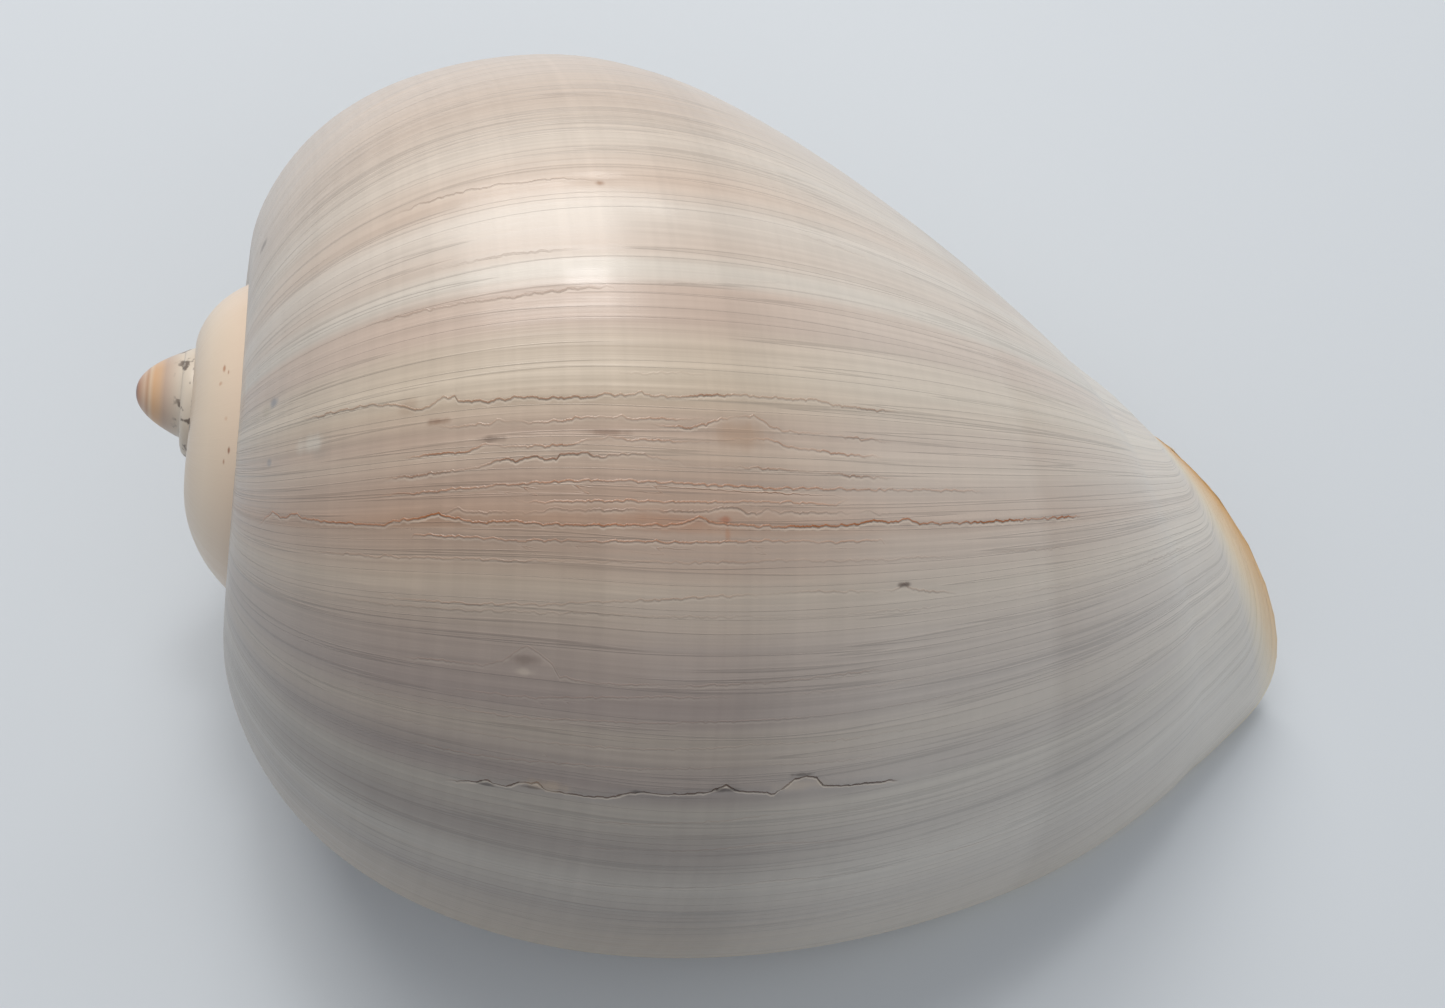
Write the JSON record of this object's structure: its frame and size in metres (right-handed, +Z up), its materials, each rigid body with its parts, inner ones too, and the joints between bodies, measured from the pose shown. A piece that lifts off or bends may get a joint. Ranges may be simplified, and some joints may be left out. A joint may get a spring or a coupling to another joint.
{
  "type": "melon shell",
  "caption": "Large egg-shaped sea snail shell lying on its mouth, with a low stepped spire, a wide last whorl and fine growth lines.",
  "frame": {"origin": "centre of the footprint's box, on the floor that the shell lies on", "axes": "+X from the spire to the front end, +Z up with the mouth below, -Y the side that the last half whorl and the lip come round on"},
  "size_m": [0.2264, 0.1632, 0.128],
  "materials": {
    "shell": "smooth, half glossy, cream and tan bands along the growth lines"
  },
  "bodies": {
    "root": {"shell": "shell"}
  },
  "joints": []
}
